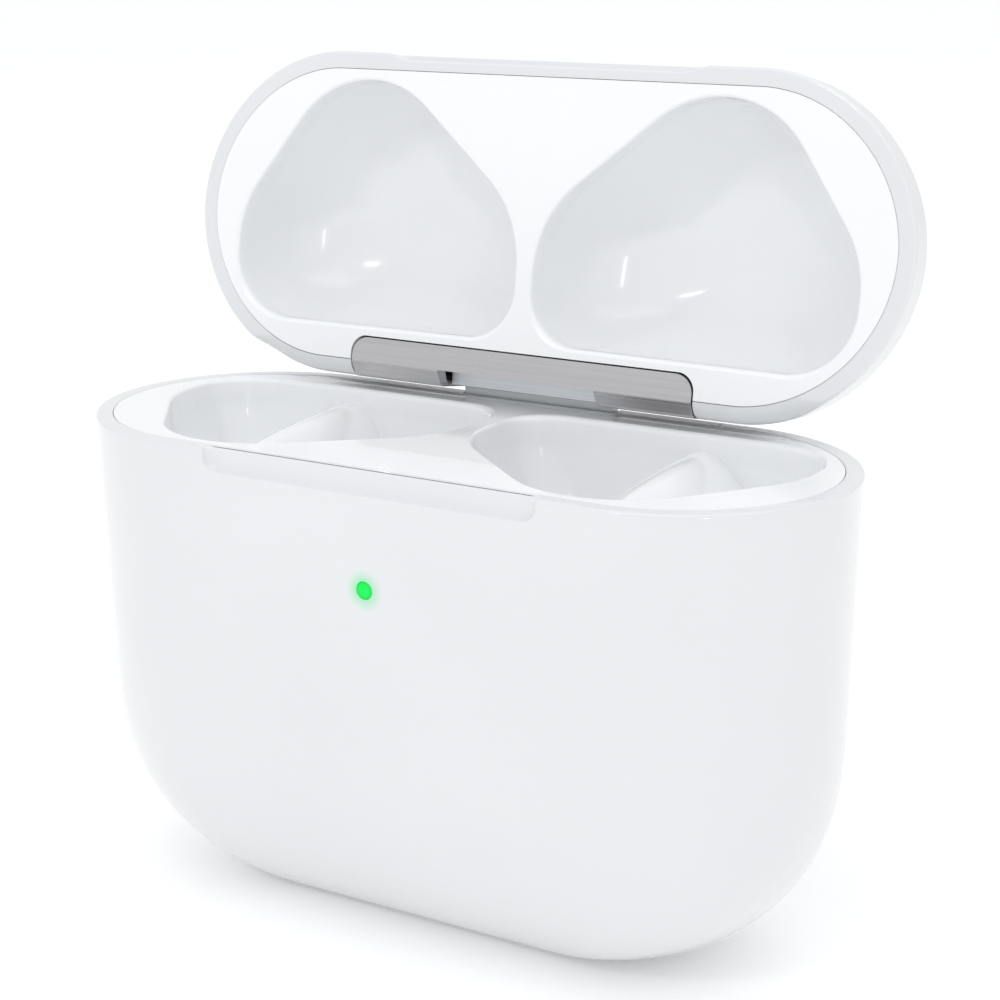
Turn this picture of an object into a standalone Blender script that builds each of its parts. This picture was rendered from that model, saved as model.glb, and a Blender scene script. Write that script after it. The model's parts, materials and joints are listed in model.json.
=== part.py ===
"""Charging case for wireless earbuds, modelled with its lid standing open.

Lengths below are millimetres and are scaled to metres when a mesh is made.
Case coordinates: x runs along the case to the right, y from the front face to
the hinge, z up from the flat base, with x = y = 0 on the case's centre line.
The lid's pieces are drawn closed and turned open about the hinge axis.
"""
import math

import bmesh
import bpy
from mathutils import Matrix

MM = 0.001

# outer shape
LENGTH = 52.0
DEPTH = 21.4
END_LENGTH = 10.8          # how far the rounded ends reach along x
END_POWER = 1.95           # 2 is a true ellipse, less is a little more pointed
RIM_Z = 31.2               # top of the case's lower half
LID_RIM_Z = 31.35          # underside of the closed lid
TAPER = 0.0011             # share by which the walls draw in for each mm below the rim
BASE_SINK = 0.16           # the base curve is cut off flat this far up

# round-over of the base: height, reach and power along x and along y
BASE_X = (16.0, 18.2, 2.62)
BASE_Y = (11.34, 7.15, 1.65)
# the same for the lid's dome, and how far its front and back stay upright
DOME_X = (14.65, 18.0, 1.85)
DOME_Y = (9.65, 8.2, 1.9)
DOME_UPRIGHT = 5.0

# walls and gaps
WALL = 1.1                 # at the rim
WALL_DEEP = 1.35           # low in the case
WALL_LID = 0.85            # above the lid's rim
FLOOR = 1.6
GAP = 0.12                 # seam between a shell and its liner
QUARTER_STEPS = 9          # facets in a quarter of the outline

# hinge
AXIS_Y = 8.954
AXIS_Z = 33.56
OPEN_DEGREES = 100.4
PIN_R = 0.45
BORE_R = 0.50
KNUCKLE_R = 1.0
CENTRE_HALF = 5.6          # half the length of the case's own knuckle
WINDOW_HALF = 5.8
LEAF_HALF = 12.6
LEAF_CORNER = 1.2
LEAF_FRONT_Y = 8.0
FOLD_Y = 9.7
LEAF_T = 0.4
LEAF_TOP_Z = 36.85
WINDOW_TOP_Z = 35.65
REAR_ROUND = 1.35          # rounding of the lid's rear edge, so that it can roll over
SIDE_ROUND = 0.25
ROLL_R = 2.5               # radius of the clearance groove in the case's rear rim
ROLL_HALF = 20.0

# earbud wells and lid cavities: corners of the rounded outline and their radii
WELL_CORNERS = ((14.06, -12.09), (22.8, 0.15), (22.8, 7.45), (0.55, 7.3), (0.55, -0.77))
WELL_RADII = (6.8, 7.0, 4.4, 3.4, 7.6)
WELL_CENTRE = (12.4, 0.6)
WELL_DEPTH = 9.0
CAVITY_DEPTH = 8.6
# how a bowl closes: share of its depth, and the outline's scale there
BOWL_STATIONS = ((0.3, 0.965), (0.55, 0.89), (0.78, 0.77), (0.93, 0.6), (1.0, 0.42))
BOWL_WALL = 0.5
STEM_CENTRE = (5.7, 1.9)
STEM_HALF = (3.0, 2.9)
STEM_CORNER = 1.6
STEM_WALL = 0.8
STEM_FLOOR_Z = 9.6

# details of the outer face
LED_Z = 24.0
LED_R = 0.55
NOTCH_HALF = 11.7
NOTCH_LOW_Z = 29.75
NOTCH_DEPTH = 0.45
LID_NOTCH_HALF = 11.0
LID_NOTCH_DEPTH = 0.4
LID_NOTCH_HEIGHT = 1.6
BUTTON_Z = 16.5
BUTTON_R = 2.3

# battery cells, one beside each stem: extent along x, y and z, and the pouch's rounding
CELL_X = (9.9, 19.2)
CELL_Y = (-6.0, 5.4)
CELL_Z = (7.4, 21.2)
CELL_ROUND = 1.2

# charging port, a rounded slot along x
PORT_HALF_X = 4.17
PORT_HALF_Y = 1.28

BOX_CENTRE_Y = 6.3         # middle of the open case's bounding box in case coordinates

SIDES = (("left", -1), ("right", 1))


def clear_scene():
    for obj in list(bpy.data.objects):
        bpy.data.objects.remove(obj, do_unlink=True)


def material(name, color, roughness, metallic=0.0):
    mat = bpy.data.materials.new(name)
    mat.use_nodes = True
    shader = mat.node_tree.nodes["Principled BSDF"]
    shader.inputs["Base Color"].default_value = (*color, 1.0)
    shader.inputs["Roughness"].default_value = roughness
    shader.inputs["Metallic"].default_value = metallic
    mat.diffuse_color = (*color, 1.0)
    return mat


def empty(name, location, turn_x=0.0, parent=None):
    obj = bpy.data.objects.new(name, None)
    bpy.context.collection.objects.link(obj)
    obj.location = [v * MM for v in location]
    obj.rotation_euler = (turn_x, 0.0, 0.0)
    obj.parent = parent
    return obj


def add(name, bm, mat, group, origin=None):
    """Turn a bmesh drawn in closed case coordinates into an object of the given group."""
    frame, datum = group
    origin = origin or datum
    bmesh.ops.recalc_face_normals(bm, faces=bm.faces)
    bmesh.ops.translate(bm, vec=[-v for v in origin], verts=bm.verts)
    bmesh.ops.scale(bm, vec=(MM, MM, MM), verts=bm.verts)
    mesh = bpy.data.meshes.new(name)
    bm.to_mesh(mesh)
    bm.free()
    mesh.materials.append(mat)
    mesh.shade_smooth()
    mesh.set_sharp_from_angle(angle=math.radians(35))
    obj = bpy.data.objects.new(name, mesh)
    bpy.context.collection.objects.link(obj)
    obj.parent = frame
    obj.location = [(o - d) * MM for o, d in zip(origin, datum)]
    return obj


def combine(target, bm, operation, group):
    """Cut or join a bmesh drawn in the same coordinates, with an exact Boolean."""
    count = len(target.modifiers)
    tool = add(f"{target.name}_tool_{count}", bm, target.data.materials[0], group)
    tool.hide_render = True
    tool.display_type = "WIRE"
    boolean = target.modifiers.new(f"{operation.lower()}_{count}", "BOOLEAN")
    boolean.operation = operation
    boolean.object = tool
    boolean.solver = "EXACT"


def block(x0, x1, y0, y1, z0, z1):
    bm = bmesh.new()
    bmesh.ops.create_cube(bm, size=1.0)
    bmesh.ops.scale(bm, vec=(x1 - x0, y1 - y0, z1 - z0), verts=bm.verts)
    bmesh.ops.translate(bm, vec=((x0 + x1) / 2, (y0 + y1) / 2, (z0 + z1) / 2), verts=bm.verts)
    return bm


def rod(centre, radius, length, axis="z", sides=16):
    """A cylinder about its centre, along the x, y or z axis."""
    bm = bmesh.new()
    bmesh.ops.create_cone(bm, cap_ends=True, segments=sides, radius1=radius, radius2=radius, depth=length)
    turn = {"x": ("Y", 90), "y": ("X", 90), "z": ("Z", 0)}[axis]
    matrix = Matrix.Rotation(math.radians(turn[1]), 3, turn[0])
    bmesh.ops.rotate(bm, matrix=matrix, verts=bm.verts)
    bmesh.ops.translate(bm, vec=centre, verts=bm.verts)
    return bm


def extrude_profile(points, x0, x1):
    """A prism along x from a closed (y, z) profile."""
    bm = bmesh.new()
    face = bm.faces.new([bm.verts.new((x0, y, z)) for y, z in points])
    grown = bmesh.ops.extrude_face_region(bm, geom=[face])["geom"]
    moved = [v for v in grown if isinstance(v, bmesh.types.BMVert)]
    bmesh.ops.translate(bm, vec=(x1 - x0, 0.0, 0.0), verts=moved)
    return bm


def bevel_where(bm, test, width, segments):
    """Bevel the edges whose two ends both pass the test."""
    edges = [e for e in bm.edges if all(test(v.co) for v in e.verts)]
    bmesh.ops.bevel(bm, geom=edges, offset=width, offset_type="OFFSET", segments=segments,
                    affect="EDGES", profile=0.5, material=-1)
    return bm


def loft(rings, closed=False):
    """A solid through rings of equal length; a closed one bends round to its first ring."""
    bm = bmesh.new()
    loops = [[bm.verts.new(p) for p in points] for points in rings]
    pairs = list(zip(loops, loops[1:]))
    if closed:
        pairs.append((loops[-1], loops[0]))
    else:
        bm.faces.new(loops[0])
        bm.faces.new(loops[-1])
    for lower, upper in pairs:
        for i in range(len(lower)):
            bm.faces.new((lower[i - 1], lower[i], upper[i], upper[i - 1]))
    return bm


def turned(profile, centre, axis, sides=20):
    """A solid of revolution along y or z from (radius, place along the axis) pairs."""
    rings = []
    for radius, place in profile:
        points = []
        for i in range(sides):
            a = 2 * math.pi * i / sides
            u, v = radius * math.cos(a), radius * math.sin(a)
            if axis == "y":
                points.append((centre[0] + u, place, centre[2] + v))
            else:
                points.append((centre[0] + u, centre[1] + v, place))
        rings.append(points)
    return loft(rings)


def smoothstep(a, b, v):
    t = min(max((v - a) / (b - a), 0.0), 1.0)
    return t * t * (3.0 - 2.0 * t)


def curve_in(rise, height, reach, power):
    """How far a rounded edge draws in when it has risen this much of its height."""
    t = min(max(rise / height, 0.0), 1.0)
    return reach * (1.0 - (1.0 - t ** power) ** (1.0 / power))


def unit(x, y):
    size = math.hypot(x, y)
    return x / size, y / size


def outline(half_x, half_y, end):
    """A plan with straight sides and superelliptic ends, counterclockwise from +x."""
    quarter = []
    for i in range(QUARTER_STEPS + 1):
        a = math.radians(90.0 * i / QUARTER_STEPS)
        x = half_x - end + end * max(math.cos(a), 0.0) ** (2 / END_POWER)
        quarter.append((x, half_y * math.sin(a) ** (2 / END_POWER)))
    half = quarter + [(-x, y) for x, y in reversed(quarter)]
    return half + [(-x, -y) for x, y in half[1:-1]]


def rounded_polygon(corners, radii, steps=5):
    """Points of a counterclockwise convex polygon whose corners are arcs."""
    points = []
    for i, corner in enumerate(corners):
        before, after = corners[i - 1], corners[(i + 1) % len(corners)]
        to_a = unit(before[0] - corner[0], before[1] - corner[1])
        to_b = unit(after[0] - corner[0], after[1] - corner[1])
        middle = unit(to_a[0] + to_b[0], to_a[1] + to_b[1])
        half = math.acos(to_a[0] * middle[0] + to_a[1] * middle[1])
        centre = [c + m * radii[i] / math.sin(half) for c, m in zip(corner, middle)]
        facing = math.atan2(-middle[1], -middle[0])
        for k in range(steps + 1):
            a = facing + (math.pi / 2 - half) * (2 * k / steps - 1)
            points.append((centre[0] + radii[i] * math.cos(a), centre[1] + radii[i] * math.sin(a)))
    return points


def rectangle(cx, cy, half_x, half_y, corner, steps):
    corners = [(cx + sx * half_x, cy + sy * half_y) for sx, sy in ((-1, -1), (1, -1), (1, 1), (-1, 1))]
    return rounded_polygon(corners, [corner] * 4, steps)


def case_ring(z, inset=0.0, section_z=None):
    """The plan of the lower half, drawn at height z, as it is at section_z."""
    at = z if section_z is None else section_z
    shrink = 1.0 - TAPER * (RIM_Z - at)
    half_x = LENGTH / 2 * shrink - curve_in(BASE_X[0] - at - BASE_SINK, *BASE_X)
    half_y = DEPTH / 2 * shrink - curve_in(BASE_Y[0] - at - BASE_SINK, *BASE_Y)
    end = END_LENGTH * half_y / (DEPTH / 2)
    return [(x, y, z) for x, y in outline(half_x - inset, half_y - inset, end - inset)]


def lid_ring(rise, inset=0.0, section=None):
    """The plan of the lid at a height above its rim, drawn with the lid closed."""
    at = rise if section is None else section
    half_x = LENGTH / 2 - curve_in(at, *DOME_X)
    half_y = DEPTH / 2 - curve_in(at - DOME_UPRIGHT, *DOME_Y)
    end = END_LENGTH * half_y / (DEPTH / 2)
    return [(x, y, LID_RIM_Z + rise) for x, y in outline(half_x - inset, half_y - inset, end - inset)]


def lid_edge_ring(angle):
    """The lid's rounded rim, which is wider along the back, at 0 (side) to 90 degrees (below)."""
    points = []
    whole, inner = lid_ring(0.0), lid_ring(0.0, WALL)
    for (x, y, z), (ix, iy, _) in zip(whole, inner):
        radius = SIDE_ROUND + (REAR_ROUND - SIDE_ROUND) * smoothstep(8.6, 9.9, y)
        most = math.acos(max((radius - WALL) / radius, 0.0))
        a = most * angle / 90.0
        share = radius * (1.0 - math.cos(a)) / WALL
        points.append((x + (ix - x) * share, y + (iy - y) * share, z + radius * (1.0 - math.sin(a))))
    return points


def well_ring(side, z, scale, offset):
    """The outline of a well, scaled about its centre and widened by offset."""
    cx, cy = WELL_CENTRE
    points = []
    for x, y in rounded_polygon(WELL_CORNERS, WELL_RADII):
        dx, dy = x - cx, y - cy
        grow = scale + offset / math.hypot(dx, dy)
        points.append((side * (cx + dx * grow), cy + dy * grow, z))
    return points


def bowl(side, mouth_z, depth, lead, offset=0.0):
    """A well or cavity that closes to a flat bottom; depth is negative downwards."""
    way = math.copysign(1.0, depth)
    rings = [well_ring(side, mouth_z - way * lead, 1.0, offset)]
    for share, scale in BOWL_STATIONS:
        rings.append(well_ring(side, mouth_z + share * (depth + way * offset), scale, offset))
    return loft(rings)


def stem_tube(side, low_z, high_z, wall):
    plan = rectangle(*STEM_CENTRE, STEM_HALF[0] + wall, STEM_HALF[1] + wall, STEM_CORNER + wall, 3)
    return loft([[(side * x, y, z) for x, y in plan] for z in (low_z, high_z)])


def slot_ring(half_x, half_y, z):
    return [(x, y, z) for x, y in rectangle(0.0, 0.0, half_x, half_y, half_y * 0.98, 4)]


def mirrored_block(side, x0, x1, y0, y1, z0, z1):
    low, high = sorted((side * x0, side * x1))
    return block(low, high, y0, y1, z0, z1)


def make_case_shell(group, mat):
    inner_z = (FLOOR, 1.7, 2.0, 2.7, 3.8, 5.4, 7.6, 10.4, 14.5, 22.0)
    stretch = RIM_Z / (RIM_Z - FLOOR)
    rings = [case_ring(z, WALL_DEEP, (z - FLOOR) * stretch) for z in inner_z]
    rings += [case_ring(22.3, WALL), case_ring(RIM_Z, WALL)]
    rings += [case_ring(RIM_Z, SIDE_ROUND), case_ring(RIM_Z - 0.07, 0.07), case_ring(RIM_Z - SIDE_ROUND)]
    rings += [case_ring(z) for z in (16.0, 13.0, 10.5, 8.2, 6.2, 4.5, 3.1, 1.9, 1.0, 0.4, 0.1, 0.0)]
    shell = add("case_shell", loft(rings), mat, group)

    half = DEPTH / 2
    notch = block(-NOTCH_HALF, NOTCH_HALF, -half - 2.0, -half + NOTCH_DEPTH, NOTCH_LOW_Z, RIM_Z + 1.0)
    bevel_where(notch, lambda c: abs(abs(c.x) - NOTCH_HALF) < 0.01 and c.z < RIM_Z, 1.1, 4)
    combine(shell, notch, "DIFFERENCE", group)
    combine(shell, rod((0.0, -half, LED_Z), LED_R + 0.1, 4.0, "y"), "DIFFERENCE", group)
    combine(shell, rod((0.0, half, BUTTON_Z), BUTTON_R + 0.15, 4.0, "y", 24), "DIFFERENCE", group)
    slot = loft([slot_ring(PORT_HALF_X + 0.67, PORT_HALF_Y + 0.67, z) for z in (-1.0, FLOOR + 0.6)])
    combine(shell, slot, "DIFFERENCE", group)
    neck_slot = block(-CENTRE_HALF - 0.15, CENTRE_HALF + 0.15, 8.6, 11.5, 27.95, RIM_Z + 1.0)
    combine(shell, neck_slot, "DIFFERENCE", group)
    combine(shell, rod((0.0, AXIS_Y, AXIS_Z), ROLL_R, 2 * ROLL_HALF, "x", 64), "DIFFERENCE", group)
    for _, side in SIDES:
        combine(shell, rod((side * 8.0, 9.3, 27.4), 0.5, 1.9, "y"), "DIFFERENCE", group)


def make_tray(group, mat):
    plate = loft([case_ring(30.0, WALL + GAP), case_ring(RIM_Z, WALL + GAP)])
    tray = add("inner_tray", plate, mat, group)
    for _, side in SIDES:
        combine(tray, bowl(side, RIM_Z, -WELL_DEPTH, -0.4, BOWL_WALL), "UNION", group)
        combine(tray, stem_tube(side, STEM_FLOOR_Z - STEM_WALL, 24.8, STEM_WALL), "UNION", group)
    for _, side in SIDES:
        combine(tray, bowl(side, RIM_Z, -WELL_DEPTH, 0.6), "DIFFERENCE", group)
        combine(tray, stem_tube(side, STEM_FLOOR_Z, 27.0, 0.0), "DIFFERENCE", group)
        for x in pin_places(side):
            hole = rod((x, STEM_CENTRE[1], STEM_FLOOR_Z), 0.6, 3.0)
            combine(tray, hole, "DIFFERENCE", group)
    combine(tray, rod((0.0, AXIS_Y, AXIS_Z), ROLL_R, 2 * ROLL_HALF, "x", 64), "DIFFERENCE", group)


def pin_places(side):
    return side * (STEM_CENTRE[0] - 1.5), side * (STEM_CENTRE[0] + 1.5)


def make_contacts(group, gold, plastic):
    """Sprung charging pins under each earbud stem, in their carriers."""
    for word, side in SIDES:
        low_x, high_x = STEM_CENTRE[0] - 2.5, STEM_CENTRE[0] + 2.5
        carrier = add(f"contact_carrier_{word}", mirrored_block(side, low_x, high_x, 0.6, 3.2, 7.5, 8.6),
                      plastic, group)
        for x, place in zip(pin_places(side), ("inner", "outer")):
            combine(carrier, rod((x, STEM_CENTRE[1], 8.0), 0.62, 3.0), "DIFFERENCE", group)
            profile = ((0.3, 10.3), (0.45, 10.2), (0.5, 10.0), (0.5, 8.0))
            pin = turned(profile, (x, STEM_CENTRE[1], 0.0), "z", 14)
            add(f"contact_pin_{word}_{place}", pin, gold, group, (x, STEM_CENTRE[1], 9.0))


def make_hinge_bracket(group, steel):
    """The case's half of the hinge: a foot inside the back, a neck and a knuckle."""
    profile = ((8.5, 28.1), (10.45, 28.1), (10.45, 33.6), (10.1, 34.15), (9.4, 34.45), (8.75, 34.3),
               (8.2, 33.9), (8.15, 32.05), (9.75, 32.05), (9.75, 29.7), (8.5, 29.7))
    bracket = add("hinge_bracket", extrude_profile(profile, -CENTRE_HALF, CENTRE_HALF), steel, group)
    combine(bracket, block(-9.5, 9.5, 8.5, 9.0, 25.0, 29.5), "UNION", group)
    combine(bracket, rod((0.0, AXIS_Y, AXIS_Z), BORE_R, 16.0, "x"), "DIFFERENCE", group)
    for _, side in SIDES:
        combine(bracket, rod((side * 8.0, 8.75, 27.4), 0.5, 2.0, "y"), "DIFFERENCE", group)
    for word, side in SIDES:
        screw = turned(((0.9, 8.0), (0.9, 8.4), (0.4, 8.4), (0.4, 10.0)), (side * 8.0, 0.0, 27.4), "y", 14)
        add(f"hinge_screw_{word}", screw, steel, group)
    add("hinge_pin", rod((0.0, AXIS_Y, AXIS_Z), PIN_R, 24.0, "x"), steel, group, (0.0, AXIS_Y, AXIS_Z))


def make_hinge_leaf(group, steel):
    """The lid's half of the hinge: a folded plate with a window and two knuckles."""
    outer_y, slope = DEPTH / 2, DEPTH / 2 - FOLD_Y
    low, top = LID_RIM_Z, LEAF_TOP_Z
    inner_y = outer_y - LEAF_T
    profile = ((LEAF_FRONT_Y, low), (FOLD_Y, low), (outer_y, low + slope), (outer_y, top), (inner_y, top),
               (inner_y, low + slope + 0.17), (FOLD_Y - 0.17, low + LEAF_T), (LEAF_FRONT_Y, low + LEAF_T))
    sheet = extrude_profile(profile, -LEAF_HALF, LEAF_HALF)
    bevel_where(sheet, lambda c: abs(c.y - LEAF_FRONT_Y) < 0.01 and c.x < 0, LEAF_CORNER, 4)
    bevel_where(sheet, lambda c: abs(c.y - LEAF_FRONT_Y) < 0.01 and c.x > LEAF_HALF - 0.01, LEAF_CORNER, 4)
    leaf = add("lid_hinge_leaf", sheet, steel, group)
    window = block(-WINDOW_HALF, WINDOW_HALF, FOLD_Y - 0.1, 11.5, low - 1.0, WINDOW_TOP_Z)
    combine(leaf, window, "DIFFERENCE", group)
    for start, end in ((-12.0, -5.85), (8.6, 12.0)):
        combine(leaf, block(start, end, 9.1, 10.5, 33.2, 34.2), "UNION", group)
        knuckle = rod(((start + end) / 2, AXIS_Y, AXIS_Z), KNUCKLE_R, end - start, "x")
        combine(leaf, knuckle, "UNION", group)
    combine(leaf, rod((0.0, AXIS_Y, AXIS_Z), BORE_R, 30.0, "x"), "DIFFERENCE", group)


def make_hinge_spring(group, steel):
    """A torsion spring on the pin, whose free end presses on the leaf."""
    coil_r, wire_r, turns, steps = 0.78, 0.13, 4, 14
    x0, x1 = 6.1, 8.2
    points = []
    for i in range(turns * steps + 1):
        a = 2 * math.pi * i / steps + math.pi / 2
        x = x0 + (x1 - x0) * i / (turns * steps)
        points.append((x, coil_r * math.cos(a), coil_r * math.sin(a)))
    points.append((x1, 1.15, coil_r))
    curve = bpy.data.curves.new("hinge_spring", "CURVE")
    curve.dimensions = "3D"
    curve.bevel_depth = wire_r * MM
    curve.bevel_resolution = 1
    curve.use_fill_caps = True
    spline = curve.splines.new("POLY")
    spline.points.add(len(points) - 1)
    for point, place in zip(spline.points, points):
        point.co = (*[v * MM for v in place], 1.0)
    curve.materials.append(steel)
    obj = bpy.data.objects.new("hinge_spring", curve)
    bpy.context.collection.objects.link(obj)
    obj.parent = group[0]


def make_lid_shell(group, mat):
    rises = (1.6, 3.4, 5.4, 7.4, 9.2, 10.8, 12.1, 13.1, 13.85, 14.35, DOME_X[0])
    inner = (1.3, 3.4, 5.6, 7.8, 9.8, 11.4, 12.6, 13.3, 13.6)
    rings = [lid_ring(rise, WALL_LID, rise * DOME_X[0] / inner[-1]) for rise in reversed(inner)]
    rings += [lid_ring(1.15, WALL), lid_edge_ring(90.0)]
    rings += [lid_edge_ring(angle) for angle in (60.0, 30.0, 0.0)]
    rings += [lid_ring(rise) for rise in rises]
    shell = add("lid_shell", loft(rings), mat, group)
    cut_out = block(-LEAF_HALF - GAP, LEAF_HALF + GAP, 8.8, 12.0, LID_RIM_Z - 1.0, LEAF_TOP_Z + GAP)
    combine(shell, cut_out, "DIFFERENCE", group)
    half = DEPTH / 2
    notch = block(-LID_NOTCH_HALF, LID_NOTCH_HALF, -half - 2.0, -half + LID_NOTCH_DEPTH, LID_RIM_Z - 1.0,
                  LID_RIM_Z + LID_NOTCH_HEIGHT)
    bevel_where(notch, lambda c: abs(abs(c.x) - LID_NOTCH_HALF) < 0.01 and c.z > LID_RIM_Z, 1.0, 4)
    combine(shell, notch, "DIFFERENCE", group)


def make_lid_liner(group, mat):
    plate = loft([lid_ring(0.0, WALL + GAP), lid_ring(1.0, WALL + GAP, 0.0)])
    liner = add("lid_liner", plate, mat, group)
    for _, side in SIDES:
        combine(liner, bowl(side, LID_RIM_Z, CAVITY_DEPTH, -0.4, BOWL_WALL), "UNION", group)
    for _, side in SIDES:
        combine(liner, bowl(side, LID_RIM_Z, CAVITY_DEPTH, 0.6), "DIFFERENCE", group)
    notch = block(-LEAF_HALF - 0.15, LEAF_HALF + 0.15, LEAF_FRONT_Y - 0.15, 12.0, LID_RIM_Z - 1.0, 38.0)
    bevel_where(notch, lambda c: c.y < LEAF_FRONT_Y and abs(abs(c.x) - LEAF_HALF) < 0.2, LEAF_CORNER, 4)
    combine(liner, notch, "DIFFERENCE", group)


def make_light(group, clear, green):
    half = DEPTH / 2
    profile = ((LED_R - 0.08, 0.1 - half), (LED_R, 0.2 - half), (LED_R, -9.25), (0.9, -9.25), (0.9, -8.95))
    add("led_light_guide", turned(profile, (0.0, 0.0, LED_Z), "y", 16), clear, group)
    add("status_led", block(-0.6, 0.6, -8.75, -8.3, LED_Z - 0.6, LED_Z + 0.6), green, group)


def make_button(group, mat, plastic, flex):
    profile = ((BUTTON_R - 0.2, 10.45), (BUTTON_R, 10.3), (BUTTON_R, 8.95), (2.95, 8.95), (2.95, 8.45))
    add("pairing_button", turned(profile, (0.0, 0.0, BUTTON_Z), "y", 24), mat, group, (0.0, 9.5, BUTTON_Z))
    switch = add("button_switch", block(-1.6, 1.6, 6.5, 7.7, BUTTON_Z - 1.6, BUTTON_Z + 1.6), plastic, group)
    combine(switch, rod((0.0, 7.7, BUTTON_Z), 0.9, 0.6, "y"), "UNION", group)
    sheet = block(-2.0, 2.0, 6.15, 6.35, BUTTON_Z - 2.5, BUTTON_Z + 2.5)
    ribbon = add("button_flex", sheet, flex, group)
    combine(ribbon, block(-0.1, 0.1, -6.0, 6.25, BUTTON_Z - 1.0, BUTTON_Z + 1.0), "UNION", group)


def make_electronics(group, board, can, cell, foam, copper, ferrite, flex, black):
    add("main_board", block(-6.5, 6.5, -8.2, -7.4, 10.0, 27.5), board, group)
    add("shield_can", block(-6.0, 6.0, -7.25, -6.2, 11.0, 24.0), can, group)
    add("hall_sensor", block(-0.8, 0.8, -7.3, -6.8, 25.6, 26.8), black, group)
    for word, side in SIDES:
        body = mirrored_block(side, *CELL_X, *CELL_Y, *CELL_Z)
        bevel_where(body, lambda c: True, CELL_ROUND, 3)
        add(f"battery_cell_{word}", body, cell, group)
        pad = mirrored_block(side, 11.5, 17.5, -3.6, 3.2, CELL_Z[0] - 1.0, CELL_Z[0] - 0.3)
        add(f"battery_pad_{word}", pad, foam, group)
        add(f"catch_magnet_{word}", mirrored_block(side, 1.85, 5.35, -8.9, -7.7, 27.9, 29.6), can, group)
        add(f"bud_magnet_{word}", mirrored_block(side, 3.9, 7.5, -3.6, -2.1, 12.0, 18.0), can, group)
    reach = CELL_X[0] - 0.3
    add("battery_flex", block(-reach, reach, -5.6, -5.4, 8.8, 10.4), flex, group)
    for name, mat, inner, outer, y0, y1 in (("charge_coil", copper, 4.5, 7.4, 7.75, 8.05),
                                            ("coil_shield", ferrite, 3.0, 7.6, 7.3, 7.55)):
        rings = []
        for radius, y in ((inner, y0), (outer, y0), (outer, y1), (inner, y1)):
            angles = [2 * math.pi * i / 32 for i in range(32)]
            rings.append([(radius * math.cos(a), y, 17.0 + radius * math.sin(a)) for a in angles])
        add(name, loft(rings, closed=True), mat, group)


def make_port(group, steel, black, board):
    hx, hy = PORT_HALF_X, PORT_HALF_Y
    sleeve = loft([slot_ring(hx, hy, 6.0), slot_ring(hx, hy, 0.95), slot_ring(hx + 0.3, hy + 0.3, 0.95),
                   slot_ring(hx + 0.3, hy + 0.3, 6.3)])
    add("port_shell", sleeve, steel, group)
    tongue = block(-3.35, 3.35, -0.35, 0.35, 1.3, 5.85)
    add("port_tongue", bevel_where(tongue, lambda c: c.z < 2.0, 0.15, 2), black, group)
    trim = loft([slot_ring(hx + 0.02, hy + 0.02, 0.05), slot_ring(hx + 0.55, hy + 0.55, 0.05),
                 slot_ring(hx + 0.55, hy + 0.55, 0.8), slot_ring(hx + 0.02, hy + 0.02, 0.8)], closed=True)
    add("port_trim_ring", trim, steel, group)
    add("port_board", block(-5.2, 5.2, -3.4, 3.4, 6.5, 7.1), board, group)


def make_lid_magnets(group, mat):
    for word, side in SIDES:
        add(f"lid_magnet_{word}", mirrored_block(side, 1.85, 5.35, -8.9, -7.7, 32.6, 34.4), mat, group)
    add("lid_sensor_magnet", block(-0.9, 0.9, -8.8, -7.8, 32.6, 33.6), mat, group)


def main():
    clear_scene()
    white = material("white_gloss_plastic", (0.88, 0.89, 0.90), 0.15)
    inner_white = material("inner_white_plastic", (0.86, 0.87, 0.88), 0.22)
    steel = material("brushed_hinge_metal", (0.62, 0.62, 0.62), 0.35, 1.0)
    clear = material("light_guide_plastic", (0.05, 0.85, 0.35), 0.3)
    green = material("led_green", (0.1, 0.8, 0.3), 0.4)
    board = material("circuit_board_green", (0.03, 0.2, 0.1), 0.5)
    can = material("nickel", (0.6, 0.6, 0.58), 0.3, 1.0)
    cell = material("battery_foil", (0.12, 0.12, 0.13), 0.45)
    foam = material("grey_foam", (0.2, 0.2, 0.2), 0.9)
    copper = material("copper_winding", (0.7, 0.35, 0.18), 0.35, 1.0)
    ferrite = material("ferrite_sheet", (0.08, 0.08, 0.09), 0.6)
    flex = material("amber_flex", (0.5, 0.25, 0.05), 0.4)
    black = material("black_resin", (0.03, 0.03, 0.03), 0.5)
    gold = material("gold_contact", (0.85, 0.62, 0.25), 0.25, 1.0)

    frame = empty("case_frame", (0.0, -BOX_CENTRE_Y, 0.0))
    axis = (0.0, AXIS_Y, AXIS_Z)
    lid_frame = empty("lid_axis", axis, math.radians(-OPEN_DEGREES), frame)
    case, lid = (frame, (0.0, 0.0, 0.0)), (lid_frame, axis)

    make_case_shell(case, white)
    make_tray(case, inner_white)
    make_contacts(case, gold, black)
    make_hinge_bracket(case, steel)
    make_light(case, clear, green)
    make_button(case, white, black, flex)
    make_electronics(case, board, can, cell, foam, copper, ferrite, flex, black)
    make_port(case, steel, black, board)

    make_lid_shell(lid, white)
    make_lid_liner(lid, inner_white)
    make_hinge_leaf(lid, steel)
    make_hinge_spring(lid, steel)
    make_lid_magnets(lid, can)


main()
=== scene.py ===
"""Looks of the wireless earbuds case: fine shells, wells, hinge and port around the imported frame.

Shapes are drawn in millimetres in closed case coordinates: x along the case, y from the front
face to the hinge, z up from the base. The lid's pieces are then turned open about the hinge.
"""
import json
import math

import bmesh
import bpy
from mathutils import Matrix, Vector


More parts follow.
